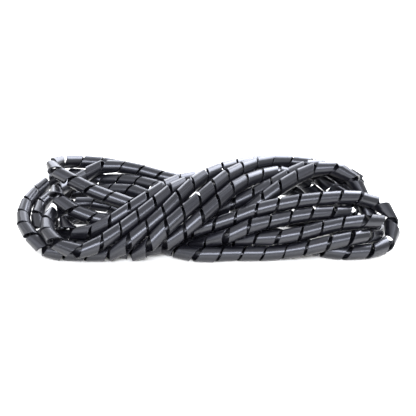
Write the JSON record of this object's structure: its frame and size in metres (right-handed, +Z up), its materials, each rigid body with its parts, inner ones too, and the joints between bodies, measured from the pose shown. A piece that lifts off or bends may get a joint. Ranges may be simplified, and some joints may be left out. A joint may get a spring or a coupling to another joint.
{
  "type": "spiral cable wrap",
  "caption": "Slit tube wound from a plastic band, for bundling cables, lying as a loose twisted hank.",
  "frame": {"origin": "middle of the hank's bounding box, on the floor it lies on", "axes": "+X along the hank, to the right as seen from the front; +Y from front to back; +Z up"},
  "size_m": [0.2168, 0.0994, 0.0452],
  "materials": {
    "wrap": "extruded polyethylene, semi-gloss, black"
  },
  "bodies": {
    "root": {"spiral_wrap": "wrap"}
  },
  "joints": []
}
